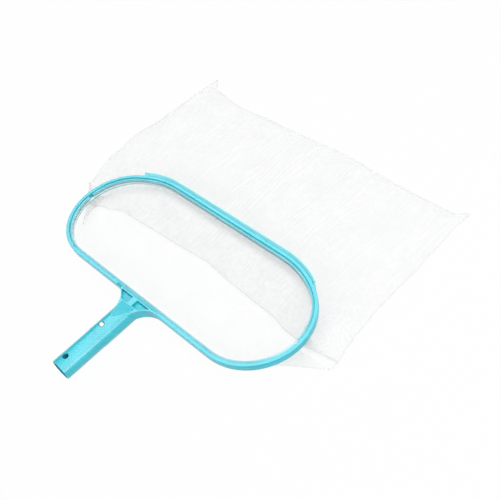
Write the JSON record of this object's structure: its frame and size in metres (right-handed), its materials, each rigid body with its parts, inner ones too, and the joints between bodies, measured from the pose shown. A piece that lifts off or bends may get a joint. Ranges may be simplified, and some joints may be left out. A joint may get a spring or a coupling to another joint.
{
  "type": "leaf skimmer net",
  "caption": "Deep-bag pool leaf skimmer: oblong moulded rim with a hollow handle, clip-in mesh bag, retaining strips and a push-button spring clip for a pole.",
  "frame": {"origin": "centre of the handle's open end, on the handle's axis", "axes": "+X to the right across the net, +Y up the handle towards the net, +Z square to the rim, away from the bag's lower panel"},
  "size_m": [0.5016, 0.4767, 0.0328],
  "materials": {
    "rim_plastic": "satin moulded polypropylene, sky blue",
    "strip_plastic": "satin extruded strip, pale sky blue",
    "guard_plastic": "soft satin plastic, blue",
    "mesh": "fine open-weave polyester mesh, white and see-through",
    "cord": "twisted white cord",
    "seam_tape": "folded and stitched mesh, white",
    "spring_steel": "bright stainless spring strip",
    "button_plastic": "white moulded acetal"
  },
  "bodies": {
    "net": {"frame": "rim_plastic", "near_strip": "strip_plastic", "far_strip": "strip_plastic", "edge_guard": "guard_plastic", "hem_cord": "cord", "bag_hem": "mesh", "near_collar": "mesh", "far_collar": "mesh", "bag_lower_panel": "mesh", "bag_upper_panel": "mesh", "left_side_seam": "seam_tape", "right_side_seam": "seam_tape", "end_seam": "seam_tape", "clip_bend": "spring_steel"},
    "upper_leg": {"clip_upper_leg": "spring_steel", "upper_button": "button_plastic"},
    "lower_leg": {"clip_lower_leg": "spring_steel", "lower_button": "button_plastic"}
  },
  "joints": [
    {"name": "upper_button_press", "type": "hinge", "parent": "net", "child": "upper_leg", "pos_m": [0, 0.1037, 0], "axis": [1, 0, 0], "range_deg": [0, 3.2], "stiffness_Nm_per_rad": 5.6},
    {"name": "lower_button_press", "type": "hinge", "parent": "net", "child": "lower_leg", "pos_m": [0, 0.1037, 0], "axis": [-1, 0, 0], "range_deg": [0, 3.2], "stiffness_Nm_per_rad": 5.6}
  ]
}
